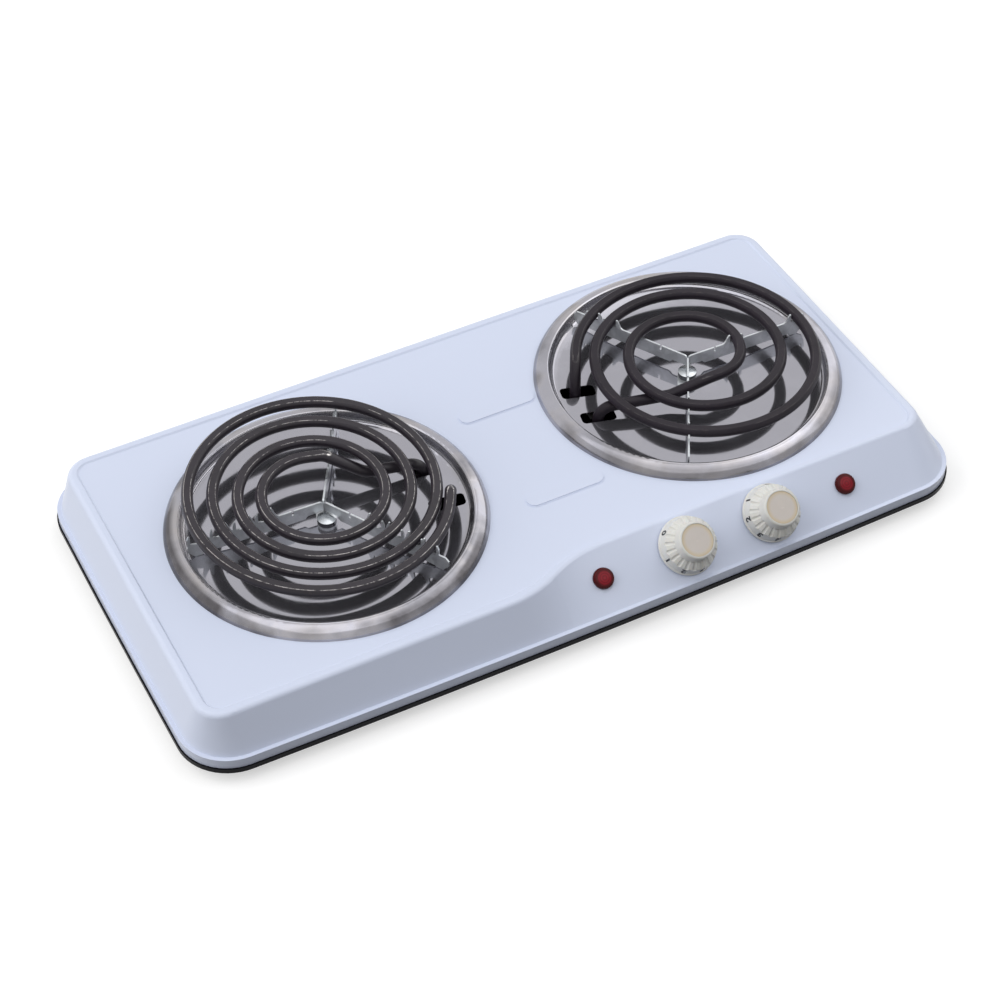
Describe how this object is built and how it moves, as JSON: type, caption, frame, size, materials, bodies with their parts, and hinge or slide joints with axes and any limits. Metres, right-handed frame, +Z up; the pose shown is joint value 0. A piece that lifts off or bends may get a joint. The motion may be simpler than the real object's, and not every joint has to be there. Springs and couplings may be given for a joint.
{
  "type": "twin coil hot plate",
  "caption": "Low enamelled table-top cooker with coiled heating elements over round drip pans and rotary heat controls on a sloping front panel.",
  "frame": {"origin": "on the supporting surface, under the middle of the base plate", "axes": "+X to the user's right along the long side, +Y away from the user, +Z up"},
  "size_m": [0.475, 0.2427, 0.0638],
  "materials": {
    "enamel": "glossy bluish white enamel",
    "black_enamel": "satin black paint",
    "stainless": "polished, tinted by heat",
    "element_sheath": "dark oxidised tube",
    "galvanised": "zinc plated sheet",
    "zinc_steel": "bright zinc plated fasteners",
    "rubber_black": "matt",
    "ceramic_white": "unglazed",
    "brass": "plain",
    "nickel": "nickel plated",
    "knob_cream": "moulded, satin gloss",
    "cap_beige": "satin",
    "lens_red": "translucent red",
    "lamp_glass": "clear glass"
  },
  "bodies": {
    "hot_plate": {"drip_pan_left": "stainless", "coil_element_left": "element_sheath", "element_support_left": "galvanised", "burner_bracket_left": "galvanised", "thermostat_bracket_left": "zinc_steel", "thermostat_body_left": "ceramic_white", "indicator_lens_left": "lens_red", "indicator_lamp_left": "lamp_glass", "drip_pan_right": "stainless", "coil_element_right": "element_sheath", "element_support_right": "galvanised", "burner_bracket_right": "galvanised", "thermostat_bracket_right": "zinc_steel", "thermostat_body_right": "ceramic_white", "indicator_lens_right": "lens_red", "indicator_lamp_right": "lamp_glass", "top_housing": "enamel", "base_plate": "black_enamel", "rubber_feet": "rubber_black", "foot_screws": "zinc_steel", "foot_nuts": "zinc_steel", "base_screws": "zinc_steel", "housing_lugs": "galvanised", "support_screws": "zinc_steel", "support_washers": "zinc_steel", "support_nuts": "zinc_steel", "terminal_beads": "ceramic_white", "terminal_pins": "nickel", "thermostat_screws": "zinc_steel", "lens_clips": "zinc_steel", "cord_gland": "rubber_black", "terminal_block": "ceramic_white", "terminal_screws": "brass"},
    "left_control": {"knob_left": "knob_cream", "knob_cap_left": "cap_beige", "control_shaft_left": "zinc_steel"},
    "right_control": {"knob_right": "knob_cream", "knob_cap_right": "cap_beige", "control_shaft_right": "zinc_steel"}
  },
  "joints": [
    {"name": "left_control_turn", "type": "hinge", "parent": "hot_plate", "child": "left_control", "pos_m": [0.0592, -0.1025, 0.02829], "axis": [0, -0.5958, 0.8031], "range_deg": [-240, 0]},
    {"name": "right_control_turn", "type": "hinge", "parent": "hot_plate", "child": "right_control", "pos_m": [0.1129, -0.10241, 0.02818], "axis": [0, -0.6021, 0.7984], "range_deg": [-182, 58]}
  ]
}
